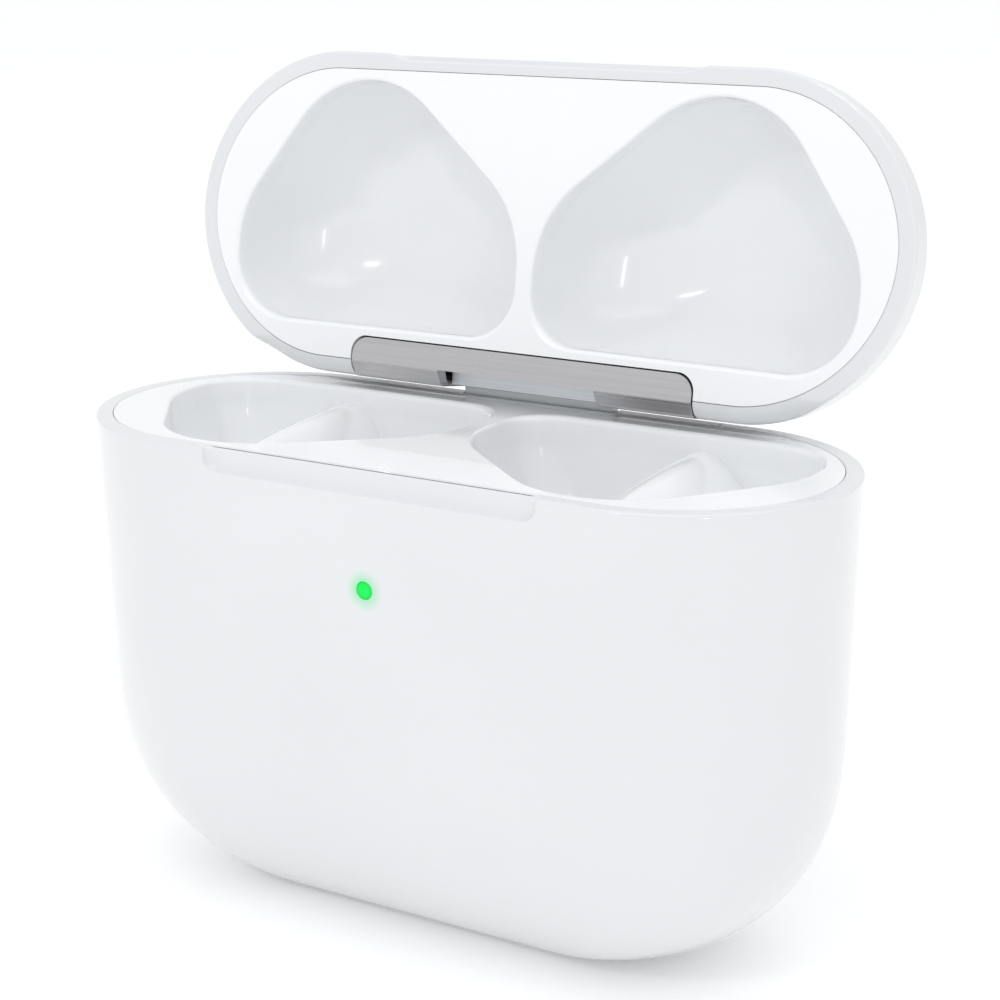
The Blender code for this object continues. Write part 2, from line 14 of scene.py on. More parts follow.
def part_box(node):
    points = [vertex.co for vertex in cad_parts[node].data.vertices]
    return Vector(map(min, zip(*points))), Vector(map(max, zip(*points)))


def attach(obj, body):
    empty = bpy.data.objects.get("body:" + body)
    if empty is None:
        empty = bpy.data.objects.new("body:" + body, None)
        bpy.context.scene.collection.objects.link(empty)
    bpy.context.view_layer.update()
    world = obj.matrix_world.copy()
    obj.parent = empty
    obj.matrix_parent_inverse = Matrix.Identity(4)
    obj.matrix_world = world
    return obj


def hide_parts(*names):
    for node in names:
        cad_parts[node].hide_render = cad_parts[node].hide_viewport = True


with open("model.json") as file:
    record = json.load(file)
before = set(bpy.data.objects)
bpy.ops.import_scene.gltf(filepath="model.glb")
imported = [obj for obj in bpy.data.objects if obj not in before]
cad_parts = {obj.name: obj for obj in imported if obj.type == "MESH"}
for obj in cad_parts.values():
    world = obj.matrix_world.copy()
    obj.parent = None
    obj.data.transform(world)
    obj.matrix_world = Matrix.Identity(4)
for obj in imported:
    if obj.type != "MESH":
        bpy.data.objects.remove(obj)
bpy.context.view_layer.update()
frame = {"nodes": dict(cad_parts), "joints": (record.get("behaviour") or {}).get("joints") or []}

MM = 0.001

# ---------------------------------------------------------------- sizes read from the frame
CASE_LOW, CASE_HIGH = (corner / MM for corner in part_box("case_shell"))
CENTRE_Y = (CASE_LOW.y + CASE_HIGH.y) / 2      # the case's middle in the frame
HALF_LENGTH = (CASE_HIGH.x - CASE_LOW.x) / 2
HALF_DEPTH = (CASE_HIGH.y - CASE_LOW.y) / 2
RIM_Z = CASE_HIGH.z
LID_GAP = 0.15                                 # between the rims of the closed case
LID_RIM_Z = RIM_Z + LID_GAP
HINGE = next(joint for joint in frame["joints"] if joint["name"] == "lid_hinge")
AXIS_Y = HINGE["pos_m"][1] / MM - CENTRE_Y
AXIS_Z = HINGE["pos_m"][2] / MM
OPEN_DEGREES = HINGE["range_deg"][1]

# ---------------------------------------------------------------- driving sizes
END_LENGTH = 10.8                              # of each rounded end, seen from above
END_POWER = 1.95                               # 2 would make the ends elliptical
TAPER = 0.0011                                 # the case narrows by this share per mm down
BASE_SINK = 0.16                               # the base cuts its curves off this far before their end
BASE_X = (16.0, 18.2, 2.62)                    # height, reach and power of the curve in to the base
BASE_Y = (11.34, 7.15, 1.65)
DOME_X = (14.65, 18.0, 1.85)                   # the same for the lid's dome
DOME_Y = (9.65, 8.2, 1.9)
DOME_UPRIGHT = 5.0                             # height of the lid's upright front and back
LID_INNER_RISE = 13.6                          # height of the lid's inside above its rim
FRONT_BAND = 0.3                               # how far behind the front face a thumb recess acts
SHARP_DEGREES = 32                             # edges sharper than this aren't shaded smooth
WALL = 1.1
WALL_DEEP = 1.35
WALL_LID = 0.85
FLOOR = 1.6
SEAM = 0.022                                   # between the shells and their liners
LINER_EDGE = 0.09
LINER_SEAT_Z = 30.0
LID_LINER_T = 1.0
ROLL_GROOVE_R = 2.41                           # room for the lid's rear edge as it swings
INNER_CURVE = 18.0                             # height over which the inner floor turns upright
WALL_STEP_Z = (21.6, 22.3)                     # the case's wall thins between these heights
WALL_TOP_Z = 30.2
INNER_CHAMFER = 0.06
RIM_FLAT = 0.6
PAST = 1.0                                     # how far a cutter runs past the face it cuts
RIM_ROUND = 0.22
REAR_ROUND = 1.35
LEAF_GAP = 0.12                                # round the leaf in the liner
LEAF_CUT_GAP = 0.1                             # round the leaf in the shell
LEAF_HALF = 12.6
LEAF_CORNER = 1.2
LEAF_FRONT_Y = 8.0
LEAF_T = 0.4
LEAF_TOP_Z = 36.85
FOLD_Y = 9.7
FOLD_SLOPE = 0.68                              # rise of the leaf's strip behind the fold
WINDOW_HALF = 5.8
WINDOW_TOP_Z = 35.65
CENTRE_HALF = 5.6
NECK_GAP = 0.15
NECK_LOW_Z = 27.95
PIN_R = 0.45
PIN_HALF = 12.0
BORE_R = 0.5
KNUCKLE_R = 1.0
KNUCKLES = ((-12.0, -5.85), (8.6, 12.0))
SCREW_PLACE = (8.0, 27.4)                      # x, z
LED_Z = 24.0
LED_R = 0.55
LED_GAP = 0.02
LED_LIP = 0.08
BUTTON_Z = 16.5
BUTTON_R = 2.3
BUTTON_GAP = 0.1
BUTTON_ROUND = 0.25
PORT_HALF = (4.17, 1.28)
PORT_CUT = 0.6                                 # the case's port hole around the socket
PORT_ROUND = 0.35
NOTCH_HALF = 11.7
NOTCH_LOW_Z = 29.75
NOTCH_DEPTH = 0.45
NOTCH_CORNER = 1.1
NOTCH_SCOOP = 0.75                             # width over which the recess deepens
NOTCH_EDGE = 0.09
LID_NOTCH_DEPTH = 0.4
LID_NOTCH_RUN = (9.7, 11.9)                    # where the lid's recess runs out along x
LID_NOTCH_HEIGHT = 1.6
LID_NOTCH_FADE = 0.35
WELL_CORNERS = ((14.06, -12.09), (22.8, 0.15), (22.8, 7.45), (0.55, 7.3), (0.55, -0.77))
WELL_RADII = (6.8, 7.0, 4.4, 3.4, 7.6)
WELL_CENTRE = (12.4, 0.6)
WELL_DEPTH = 9.0
CAVITY_DEPTH = 8.6
BOWL_WALL = 0.5
BOWL_POWERS = (2.3, 0.42)                      # of the bowl's section
LIP_R = (0.24, 0.2)                            # a lip's rounding, and what it gains towards the hinge
LIP_INWARD = 0.35                              # share of it that reaches into the mouth
STEM_CENTRE = (5.7, 1.9)
STEM_HALF = (3.0, 2.9)
STEM_CORNER = 1.6
STEM_FLOOR_Z = 9.6
STEM_TOP_Z = 26.0
STEM_WALL = 0.8
STEM_WALL_TOP_Z = 24.8
PIN_SPREAD = 1.5
PIN_HOLE_R = 0.6
CONTACT_R = 0.5
SIDES = (("left", -1), ("right", 1))

LED_FRONT = 0.1 - HALF_DEPTH                   # the light window sits just inside the face
STRAIGHT = 15.2                                # half of a straight side, as SPOTS counts it

ARC_STEPS = 44                                 # points in a quarter of a rounded end


# ---------------------------------------------------------------- small tools
def smoothstep(a, b, v):
    """0 up to a, 1 from b on, and a smooth climb between them."""
    t = min(max((v - a) / (b - a), 0.0), 1.0)
    return t * t * (3.0 - 2.0 * t)


def steps(start, end, count):
    """Count places from start up to, but not including, end."""
    return [start + (end - start) * i / count for i in range(count)]


def quarter_round(radius, angles):
    """Steps round a quarter circle, each as (inwards, down) from the corner that it rounds."""
    turns = [math.radians(a) for a in angles]
    return [(radius * (1 - math.cos(a)), radius * (1 - math.sin(a))) for a in turns]


def bore(radius, half, sides=48):
    """A rod along the hinge's axis."""
    return spun(((radius, -half), (radius, half)), (0.0, AXIS_Y, AXIS_Z), "x", sides)


def begin(bm, points):
    """A closed loop of vertices, begun as a circle and laid through the points."""
    verts = bmesh.ops.create_circle(bm, segments=len(points), radius=1.0)["verts"]
    for vert, point in zip(verts, points):
        vert.co = point
    return verts


def pull(bm, verts, points):
    """Extrude a loop of vertices once and lay the new loop through the points."""
    edges = [bm.edges.get((a, b)) for a, b in zip(verts, verts[1:] + verts[:1])]
    grown = {v for v in bmesh.ops.extrude_edge_only(bm, edges=edges)["geom"]
             if isinstance(v, bmesh.types.BMVert)}
    moved = [next(e.other_vert(v) for e in v.link_edges if e.other_vert(v) in grown) for v in verts]
    for vert, point in zip(moved, points):
        vert.co = point
    return moved


def skin(rings, closed=False):
    """A solid pulled through a run of loops, capped at both ends or joined into a ring."""
    bm = bmesh.new()
    first = verts = begin(bm, rings[0])
    for points in rings[1:]:
        verts = pull(bm, verts, points)
    if closed:
        pairs = [pair for loop in (first, verts) for pair in zip(loop, loop[1:] + loop[:1])]
        both = [bm.edges.get(pair) for pair in pairs]
        bmesh.ops.bridge_loops(bm, edges=both)
    else:
        bm.faces.new(first)
        bm.faces.new(verts)
    bmesh.ops.recalc_face_normals(bm, faces=bm.faces)
    return bm


def spun(profile, centre, axis, sides=64):
    """A solid of revolution along x, y or z from (radius, place along the axis) pairs."""
    rings = []
    for radius, place in profile:
        ring = []
        for i in range(sides):
            a = 2 * math.pi * i / sides
            u, v = radius * math.cos(a), radius * math.sin(a)
            ring.append({"x": (place, centre[1] + u, centre[2] + v),
                         "y": (centre[0] + u, place, centre[2] + v),
                         "z": (centre[0] + u, centre[1] + v, place)}[axis])
        rings.append(ring)
    return skin(rings)


def block(x0, x1, y0, y1, z0, z1):
    """A box between the given sides."""
    bm = bmesh.new()
    bmesh.ops.create_cube(bm, size=1.0)
    bmesh.ops.scale(bm, vec=(x1 - x0, y1 - y0, z1 - z0), verts=bm.verts)
    bmesh.ops.translate(bm, vec=((x0 + x1) / 2, (y0 + y1) / 2, (z0 + z1) / 2), verts=bm.verts)
    return bm


def bevel_where(bm, test, width, segments):
    """Round the edges whose two ends both pass the test."""
    edges = [e for e in bm.edges if all(test(v.co) for v in e.verts)]
    bmesh.ops.bevel(bm, geom=edges, offset=width, offset_type="OFFSET", segments=segments,
                    affect="EDGES", profile=0.5, material=-1)


def held(bm, name):
    """A scratch object that holds a bmesh while a Boolean reads it."""
    mesh = bpy.data.meshes.new(name)
    bm.to_mesh(mesh)
    bm.free()
    obj = bpy.data.objects.new(name, mesh)
    bpy.context.scene.collection.objects.link(obj)
    return obj


def carve(bm, tools, operation="DIFFERENCE"):
    """Cut the tools out of a solid, or join them to it, with exact Booleans."""
    target = held(bm, "carved")
    scratch = [held(tool, "tool") for tool in tools]
    for tool in scratch:
        boolean = target.modifiers.new("carve", "BOOLEAN")
        boolean.operation = operation
        boolean.object = tool
        boolean.solver = "EXACT"
    bpy.context.view_layer.update()
    evaluated = target.evaluated_get(bpy.context.evaluated_depsgraph_get())
    result = bmesh.new()
    result.from_mesh(evaluated.to_mesh())
    evaluated.to_mesh_clear()
    for obj in [target, *scratch]:
        bpy.data.objects.remove(obj)
    return result


def place(name, bm, mat, body, slot, *nodes, turn=False, rounding=0.0):
    """Put a finished bmesh into the frame as a piece that stands for the given CAD nodes."""
    if turn:
        swing = Matrix.Rotation(math.radians(-OPEN_DEGREES), 3, "X")
        bmesh.ops.rotate(bm, cent=(0.0, AXIS_Y, AXIS_Z), matrix=swing, verts=bm.verts)
    bmesh.ops.translate(bm, vec=(0.0, CENTRE_Y, 0.0), verts=bm.verts)
    bmesh.ops.scale(bm, vec=(MM, MM, MM), verts=bm.verts)
    mesh = bpy.data.meshes.new(name)
    bm.to_mesh(mesh)
    bm.free()
    mesh.materials.append(mat)
    mesh.shade_smooth()
    mesh.set_sharp_from_angle(angle=math.radians(SHARP_DEGREES))
    obj = bpy.data.objects.new(name, mesh)
    bpy.context.scene.collection.objects.link(obj)
    if rounding:
        bevel = obj.modifiers.new("soft_edges", "BEVEL")
        bevel.width = rounding * MM
        bevel.segments = 3
        bevel.limit_method = "ANGLE"
        bevel.angle_limit = math.radians(38)
    normals = obj.modifiers.new("flat_faces", "WEIGHTED_NORMAL")
    normals.keep_sharp = True
    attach(obj, body)
    if nodes:
        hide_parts(*nodes)


# ---------------------------------------------------------------- outer form
def curve_in(rise, height, reach, power):
    """How far an outline has drawn in, at a height above its curve's start."""
    t = min(max(rise / height, 0.0), 1.0)
    return reach * (1.0 - (1.0 - t ** power) ** (1.0 / power))


# shares along half of a straight side, closest together where the thumb recess ends
SPOTS = [s / STRAIGHT for s in steps(0.0, 9.6, 12) + steps(9.6, 12.2, 30) + steps(12.2, STRAIGHT, 5)]


def plan(half_x, half_y, end, z):
    """The rounded outline of the case at height z, starting at the middle of the back."""
    flat = half_x - end
    quarter = [(flat * s, half_y) for s in SPOTS]
    for i in range(ARC_STEPS + 1):
        a = math.pi / 2 * (1 - i / ARC_STEPS)
        reach_x = max(math.cos(a), 0.0) ** (2 / END_POWER)
        quarter.append((flat + end * reach_x, half_y * max(math.sin(a), 0.0) ** (2 / END_POWER)))
    right = quarter + [(x, -y) for x, y in reversed(quarter[:-1])]
    left = [(-x, y) for x, y in reversed(right[1:-1])]
    return [(x, y, z) for x, y in right + left]


def case_ring(z, inset=0.0, section_z=None):
    """The case's outline laid at z, as it is at z or at section_z."""
    at = z if section_z is None else section_z
    shrink = 1.0 - TAPER * (RIM_Z - at)
    half_x = HALF_LENGTH * shrink - curve_in(BASE_X[0] - at - BASE_SINK, *BASE_X)
    half_y = HALF_DEPTH * shrink - curve_in(BASE_Y[0] - at - BASE_SINK, *BASE_Y)
    end = END_LENGTH * half_y / HALF_DEPTH
    return plan(half_x - inset, half_y - inset, end - inset, z)


def lid_ring(rise, inset=0.0, section=None):
    """The lid's outline laid at a height above its rim, as it is there or at section."""
    at = rise if section is None else section
    half_x = HALF_LENGTH - curve_in(at, *DOME_X)
    half_y = HALF_DEPTH - curve_in(at - DOME_UPRIGHT, *DOME_Y)
    end = END_LENGTH * half_y / HALF_DEPTH
    return plan(half_x - inset, half_y - inset, end - inset, LID_RIM_Z + rise)


def rear_radius(y):
    """Rounding of the lid's rim, widest along the back, where the lid rolls over the case."""
    return RIM_ROUND + (REAR_ROUND - RIM_ROUND) * smoothstep(8.6, 9.9, y)


def lid_edge_ring(angle):
    """A loop of the lid's rounded rim, from 90 degrees (innermost) to 0 (outer wall)."""
    points = []
    for (x, y, z), (ix, iy, _) in zip(lid_ring(0.0), lid_ring(0.0, WALL)):
        radius = rear_radius(y)
        a = math.acos(max((radius - WALL) / radius, 0.0)) * angle / 90.0
        share = radius * (1.0 - math.cos(a)) / WALL
        points.append((x + (ix - x) * share, y + (iy - y) * share, z + radius * (1.0 - math.sin(a))))
    return points


def lid_upright_ring(share):
    """Between the rounded rim and the top of the lid's recess."""
    return [(x, y, z + (LID_NOTCH_HEIGHT + 0.15 - rear_radius(y)) * share + rear_radius(y))
            for x, y, z in lid_ring(0.0)]


def recess_depth(x, z):
    """Depth of the thumb recess: a scoop whose floor curves out to a rounded lower edge."""
    dx = abs(x) - (NOTCH_HALF - NOTCH_CORNER)
    dz = (NOTCH_LOW_Z + NOTCH_CORNER) - z
    corner = math.hypot(max(dx, 0.0), max(dz, 0.0))
    inside = NOTCH_CORNER - (corner if corner > 0.0 else max(dx, dz))
    reach = min(max(inside / NOTCH_SCOOP, 0.0), 1.0)
    return NOTCH_DEPTH * math.sqrt(1.0 - (1.0 - reach) ** 2) * smoothstep(0.0, NOTCH_EDGE, inside)


def lid_recess_depth(x, rise):
    """Depth of the lid's thumb recess, which runs out at its ends and its top."""
    along = 1.0 - smoothstep(*LID_NOTCH_RUN, abs(x))
    up = 1.0 - smoothstep(LID_NOTCH_HEIGHT - LID_NOTCH_FADE, LID_NOTCH_HEIGHT, rise)
    return LID_NOTCH_DEPTH * along * up


def make_case_shell(mat):
    """The lower shell, from its inner floor over the rim and down round the base."""
    stretch = RIM_Z / (RIM_Z - FLOOR)
    inner = [FLOOR + INNER_CURVE * (1 - math.cos(math.pi / 2 * i / 22)) for i in range(22)]
    rings = [case_ring(z, WALL_DEEP, (z - FLOOR) * stretch) for z in inner]
    rings += [case_ring(WALL_STEP_Z[0], WALL_DEEP), case_ring(WALL_STEP_Z[1], WALL)]
    rings.append(case_ring(WALL_TOP_Z, WALL))
    rings += [case_ring(RIM_Z - INNER_CHAMFER, WALL), case_ring(RIM_Z, WALL - INNER_CHAMFER)]
    rings.append(case_ring(RIM_Z, RIM_FLAT))
    mouth = quarter_round(RIM_ROUND, range(90, -1, -15))
    rings += [case_ring(RIM_Z - down, inwards) for inwards, down in mouth]
    rings += [case_ring(z) for z in steps(RIM_Z - RIM_ROUND - 0.05, NOTCH_LOW_Z - 0.15, 26)]
    rings += [case_ring(z) for z in steps(NOTCH_LOW_Z - 0.15, BASE_X[0], 12)]
    rings += [case_ring(BASE_X[0] * (1 - math.sin(math.pi / 2 * i / 56))) for i in range(57)]
    bm = skin(rings)
    for vert in bm.verts:
        if vert.co.y < FRONT_BAND - HALF_DEPTH and vert.co.z > NOTCH_LOW_Z - 0.2:
            vert.co.y += recess_depth(vert.co.x, vert.co.z)
    neck = block(-CENTRE_HALF - NECK_GAP, CENTRE_HALF + NECK_GAP, 8.6, 11.5, NECK_LOW_Z, RIM_Z + PAST)
    bm = carve(bm, [light_hole(), button_hole(), port_hole(), neck])
    place("case_body_shell", bm, mat, "case", "white_shell", "case_shell")


def light_hole():
    """The hole for the light window, with a small countersink."""
    hole, lip = LED_R + LED_GAP, LED_R + LED_LIP
    profile = ((hole, -9.0), (hole, LED_LIP - HALF_DEPTH),
               (lip, -HALF_DEPTH + 0.01), (lip, -HALF_DEPTH - PAST))
    return spun(profile, (0.0, 0.0, LED_Z), "y", 48)


def button_hole():
    """The hole for the rear button, with a rounded mouth."""
    hole = BUTTON_R + BUTTON_GAP
    rear = HALF_DEPTH * (1 - TAPER * (RIM_Z - BUTTON_Z))
    mouth = quarter_round(BUTTON_ROUND, (0, 22, 45, 68, 85))
    profile = [(hole, 8.0)] + [(hole + inwards, rear - down) for inwards, down in mouth]
    profile.append((BUTTON_R + 0.4, rear + PAST))
    return spun(profile, (0.0, 0.0, BUTTON_Z), "y", 96)


def port_hole():
    """The hole for the charging port, with a rounded mouth."""
    mouth = quarter_round(PORT_ROUND, (0, 25, 50, 75))
    rings = [port_ring(PORT_CUT, FLOOR + 0.6)]
    rings += [port_ring(PORT_CUT + inwards, down) for inwards, down in mouth]
    return skin(rings + [port_ring(0.92, -PAST)])


def make_lid_shell(mat):
    """The lid's shell, from the top of its inside over the rim and up round the dome."""
    inner = [LID_INNER_RISE * math.sin(math.pi / 2 * i / 24) for i in range(3, 25)]
    rings = [lid_ring(rise, WALL_LID, rise * DOME_X[0] / LID_INNER_RISE) for rise in reversed(inner)]
    rings += [lid_ring(1.15, WALL), lid_ring(0.06, WALL)]
    rings += [lid_edge_ring(90.0 - 10.0 * i) for i in range(10)]
    rings += [lid_upright_ring(i / 26) for i in range(1, 27)]
    rings += [lid_ring(rise) for rise in steps(LID_NOTCH_HEIGHT + 0.5, DOME_UPRIGHT, 8)]
    swell = DOME_X[0] - DOME_UPRIGHT
    rings += [lid_ring(DOME_UPRIGHT + swell * math.sin(math.pi / 2 * i / 54)) for i in range(55)]
    bm = skin(rings)
    for vert in bm.verts:
        rise = vert.co.z - LID_RIM_Z
        if vert.co.y < FRONT_BAND - HALF_DEPTH and rise < LID_NOTCH_HEIGHT:
            vert.co.y += lid_recess_depth(vert.co.x, rise)
    reach, top = LEAF_HALF + LEAF_CUT_GAP, LEAF_TOP_Z + LEAF_CUT_GAP
    cut_out = block(-reach, reach, 8.8, 12.0, LID_RIM_Z - PAST, top)
    place("lid_outer_shell", carve(bm, [cut_out]), mat, "lid", "white_shell", "lid_shell", turn=True)


# ---------------------------------------------------------------- wells and cavities
def unit(x, y):
    """The direction of (x, y), at length 1."""
    size = math.hypot(x, y)
    return x / size, y / size


def rounded_polygon(corners, radii, count):
    """A closed outline with each corner rounded by its own radius."""
    points = []
    for i, corner in enumerate(corners):
        before, after = corners[i - 1], corners[(i + 1) % len(corners)]
        to_a = unit(before[0] - corner[0], before[1] - corner[1])
        to_b = unit(after[0] - corner[0], after[1] - corner[1])
        middle = unit(to_a[0] + to_b[0], to_a[1] + to_b[1])
        half = math.acos(to_a[0] * middle[0] + to_a[1] * middle[1])
        centre = [c + m * radii[i] / math.sin(half) for c, m in zip(corner, middle)]
        facing = math.atan2(-middle[1], -middle[0])
        for k in range(count + 1):
            a = facing + (math.pi / 2 - half) * (2 * k / count - 1)
            points.append((centre[0] + radii[i] * math.cos(a), centre[1] + radii[i] * math.sin(a)))
    return points


def rectangle(cx, cy, half_x, half_y, corner, count):
    """A rounded rectangle about a centre."""
    corners = [(cx + sx * half_x, cy + sy * half_y) for sx, sy in ((-1, -1), (1, -1), (1, 1), (-1, 1))]
    return rounded_polygon(corners, [corner] * 4, count)


def port_ring(offset, z):
    """The port's outline at height z, grown by an offset."""
    half_x, half_y = PORT_HALF[0] + offset, PORT_HALF[1] + offset
    return [(x, y, z) for x, y in rectangle(0.0, 0.0, half_x, half_y, half_y * 0.98, 16)]


def well_points(count=18):
    """The outline of the right-hand well's mouth."""
    return rounded_polygon(WELL_CORNERS, WELL_RADII, count)


def well_ring(side, z, scale, offset):
    """A well's outline at height z, scaled about its centre and then grown."""
    cx, cy = WELL_CENTRE
    ring = []
    for x, y in well_points():
        dx, dy = x - cx, y - cy
        grow = scale + offset / math.hypot(dx, dy)
        ring.append((side * (cx + dx * grow), cy + dy * grow, z))
    return ring


def bowl_scale(share):
    """How far the bowl's outline has drawn in at a share of its depth."""
    return (1.0 - share ** BOWL_POWERS[0]) ** BOWL_POWERS[1]


def bowl(side, mouth_z, depth, offset=0.0):
    """The inside of a well or cavity with a lip that rolls out at its mouth."""
    way = math.copysign(1.0, depth)
    rings = []
    if not offset:
        rings.append(lip_ring(side, mouth_z - way * 0.6, 90))
        rings += [lip_ring(side, mouth_z, angle, way) for angle in (86, 72, 58, 44, 30, 15, 0)]
    else:
        rings.append(well_ring(side, mouth_z + way * 0.4, 1.0, offset))
    for i in range(3, 28):
        share = math.sin(math.pi / 2 * i / 28)
        rings.append(well_ring(side, mouth_z + share * (depth + way * offset), bowl_scale(share), offset))
    return skin(rings)


def lip_radius(y):
    """The lip is crisp towards the front and softer towards the hinge."""
    return LIP_R[0] + LIP_R[1] * smoothstep(3.0, 7.0, y)


def lip_ring(side, z, angle, way=0.0):
    """A loop of the rolled lip, from 0 degrees (upright wall) to 90 (level with the face)."""
    a = math.radians(angle)
    ring = []
    cx, cy = WELL_CENTRE
    for x, y in well_points():
        radius = lip_radius(y)
        dx, dy = unit(x - cx, y - cy)
        out = radius * (1.0 - math.cos(a)) - radius * LIP_INWARD
        down = radius * (1.0 - math.sin(a))
        ring.append((side * (x + dx * out), y + dy * out, z + way * down))
    return ring


# section of the saddle under each earbud's head, from the stem outwards: (x, z below the rim)
SADDLE_FOOT = -10.5
SADDLE = ((7.6, SADDLE_FOOT), (8.1, -8.6), (8.7, -6.8), (9.5, -4.9), (10.4, -3.3), (11.3, -2.0),
          (12.1, -1.2), (12.7, -0.85), (13.3, -0.78), (13.9, -0.95), (14.7, -1.45), (15.5, -2.25),
          (16.4, -3.15), (17.5, -4.1), (18.8, -4.95), (20.2, -5.5), (21.6, -5.8), (26.0, -6.0),
          (26.0, SADDLE_FOOT))
# how far the section has fallen at each y
SADDLE_FALL = ((9.0, 0.2), (5.5, 0.25), (2.0, 0.4), (-1.0, 0.65), (-4.0, 1.05), (-7.0, 1.6),
               (-12.0, 3.0))


def saddle(side):
    """The raised bed in a well that parts the earbud's head from its stem."""
    rings = []
    for y, fall in SADDLE_FALL:
        rings.append([(side * x, y, RIM_Z + z - (fall if z > SADDLE_FOOT else 0.0)) for x, z in SADDLE])
    return skin(rings)


def stem(side, low_z, high_z, wall):
    """The straight hole for an earbud's stem, or the outside of its wall."""
    ring = rectangle(*STEM_CENTRE, STEM_HALF[0] + wall, STEM_HALF[1] + wall, STEM_CORNER + wall, 12)
    return skin([[(side * x, y, z) for x, y in ring] for z in (low_z, high_z)])


def pin_places(side):
    """Where the two charging pins stand along x, under one stem."""
    return side * (STEM_CENTRE[0] - PIN_SPREAD), side * (STEM_CENTRE[0] + PIN_SPREAD)


def make_tray(mat):
    """The plate with the two wells, the stem holes and a groove for the lid's rear edge."""
    edge, inset = LINER_EDGE, WALL + SEAM
    bm = skin([case_ring(LINER_SEAT_Z, inset), case_ring(RIM_Z - edge, inset),
               case_ring(RIM_Z - edge * 0.3, inset + edge * 0.3), case_ring(RIM_Z, inset + edge)])
    outer, inner = [], []
    for _, side in SIDES:
        outer.append(bowl(side, RIM_Z, -WELL_DEPTH, BOWL_WALL))
        outer.append(stem(side, STEM_FLOOR_Z - STEM_WALL, STEM_WALL_TOP_Z, STEM_WALL))
        inner.append(carve(bowl(side, RIM_Z, -WELL_DEPTH), [saddle(side)]))
        inner.append(stem(side, STEM_FLOOR_Z, STEM_TOP_Z, 0.0))
        for x in pin_places(side):
            hole = ((PIN_HOLE_R, STEM_FLOOR_Z - 1.5), (PIN_HOLE_R, STEM_FLOOR_Z + 1.0))
            inner.append(spun(hole, (x, STEM_CENTRE[1], 0.0), "z", 32))
    bm = carve(carve(bm, outer, "UNION"), inner + [bore(ROLL_GROOVE_R, 20.0, 256)])
    place("well_tray", bm, mat, "case", "white_liner", "inner_tray")


def make_lid_liner(mat):
    """The lid's inner face, with two cavities and a notch for the leaf."""
    edge, inset = LINER_EDGE, WALL + SEAM
    bm = skin([lid_ring(LID_LINER_T, inset, 0.0), lid_ring(edge, inset, 0.0),
               lid_ring(edge * 0.3, inset + edge * 0.3, 0.0), lid_ring(0.0, inset + edge, 0.0)])
    outer = [bowl(side, LID_RIM_Z, CAVITY_DEPTH, BOWL_WALL) for _, side in SIDES]
    inner = [bowl(side, LID_RIM_Z, CAVITY_DEPTH) for _, side in SIDES]
    reach = LEAF_HALF + LEAF_GAP
    notch = block(-reach, reach, LEAF_FRONT_Y - LEAF_GAP, 12.0, LID_RIM_Z - PAST, 38.0)
    bevel_where(notch, lambda c: c.y < LEAF_FRONT_Y and abs(abs(c.x) - LEAF_HALF) < 0.2, LEAF_CORNER, 12)
    bm = carve(carve(bm, outer, "UNION"), inner + [notch])
    place("cavity_liner", bm, mat, "lid", "white_liner", "lid_liner", turn=True)


# ---------------------------------------------------------------- hinge
def along_x(points, x0, x1):
    """A prism along x from a closed (y, z) profile."""
    return skin([[(x, y, z) for y, z in points] for x in (x0, x1)])


def bent(corners, radii, count=6):
    """A (y, z) profile with each corner rounded by its own radius; 0 keeps a corner sharp."""
    points = []
    for i, (corner, radius) in enumerate(zip(corners, radii)):
        if not radius:
            points.append(corner)
            continue
        before, after = corners[i - 1], corners[(i + 1) % len(corners)]
        start = Vector(corner) + Vector(unit(before[0] - corner[0], before[1] - corner[1])) * radius
        end = Vector(corner) + Vector(unit(after[0] - corner[0], after[1] - corner[1])) * radius
        for k in range(count + 1):
            t = k / count
            points.append(tuple(start * (1 - t) ** 2 + Vector(corner) * 2 * t * (1 - t) + end * t ** 2))
    return points


def make_leaf(mat):
    """The bent plate: a front face, a fold, a strip with the window, and an upright inside the back."""
    back_y, low, high = HALF_DEPTH - LEAF_T, LID_RIM_Z, LID_RIM_Z + FOLD_SLOPE
    corners = ((LEAF_FRONT_Y, low), (FOLD_Y, low), (HALF_DEPTH, high), (HALF_DEPTH, LEAF_TOP_Z),
               (back_y, LEAF_TOP_Z), (back_y, high + 0.17), (FOLD_Y - 0.17, low + LEAF_T),
               (LEAF_FRONT_Y, low + LEAF_T))
    bm = along_x(bent(corners, (0, 0.07, 0.3, 0, 0, 0.1, 0.1, 0)), -LEAF_HALF, LEAF_HALF)
    for side in (-1, 1):
        bevel_where(bm, lambda c: abs(c.y - LEAF_FRONT_Y) < 0.01 and c.x * side > LEAF_HALF - 0.01,
                    LEAF_CORNER, 12)
    window = block(-WINDOW_HALF, WINDOW_HALF, FOLD_Y - 0.1, 11.5, low - PAST, WINDOW_TOP_Z)
    tab_y = HALF_DEPTH - 0.05
    tab = [(FOLD_Y - 0.6, low + 0.05), (FOLD_Y, low + 0.05), (tab_y, high + 0.05), (tab_y, high + 0.5),
           (HALF_DEPTH - 0.5, high + 0.5), (FOLD_Y - 0.6, low + 0.7)]
    added = []
    for start, end in KNUCKLES:
        added.append(block(start, end, 9.1, 10.5, 33.2, 34.2))
        added.append(spun(((KNUCKLE_R, start), (KNUCKLE_R, end)), (0.0, AXIS_Y, AXIS_Z), "x", 48))
    added.append(along_x(tab, -WINDOW_HALF - 0.3, -WINDOW_HALF + 0.02))
    bm = carve(carve(carve(bm, [window]), added, "UNION"), [bore(BORE_R, 15.0)])
    place("hinge_leaf_plate", bm, mat, "lid", "hinge_metal", "lid_hinge_leaf", turn=True, rounding=0.05)


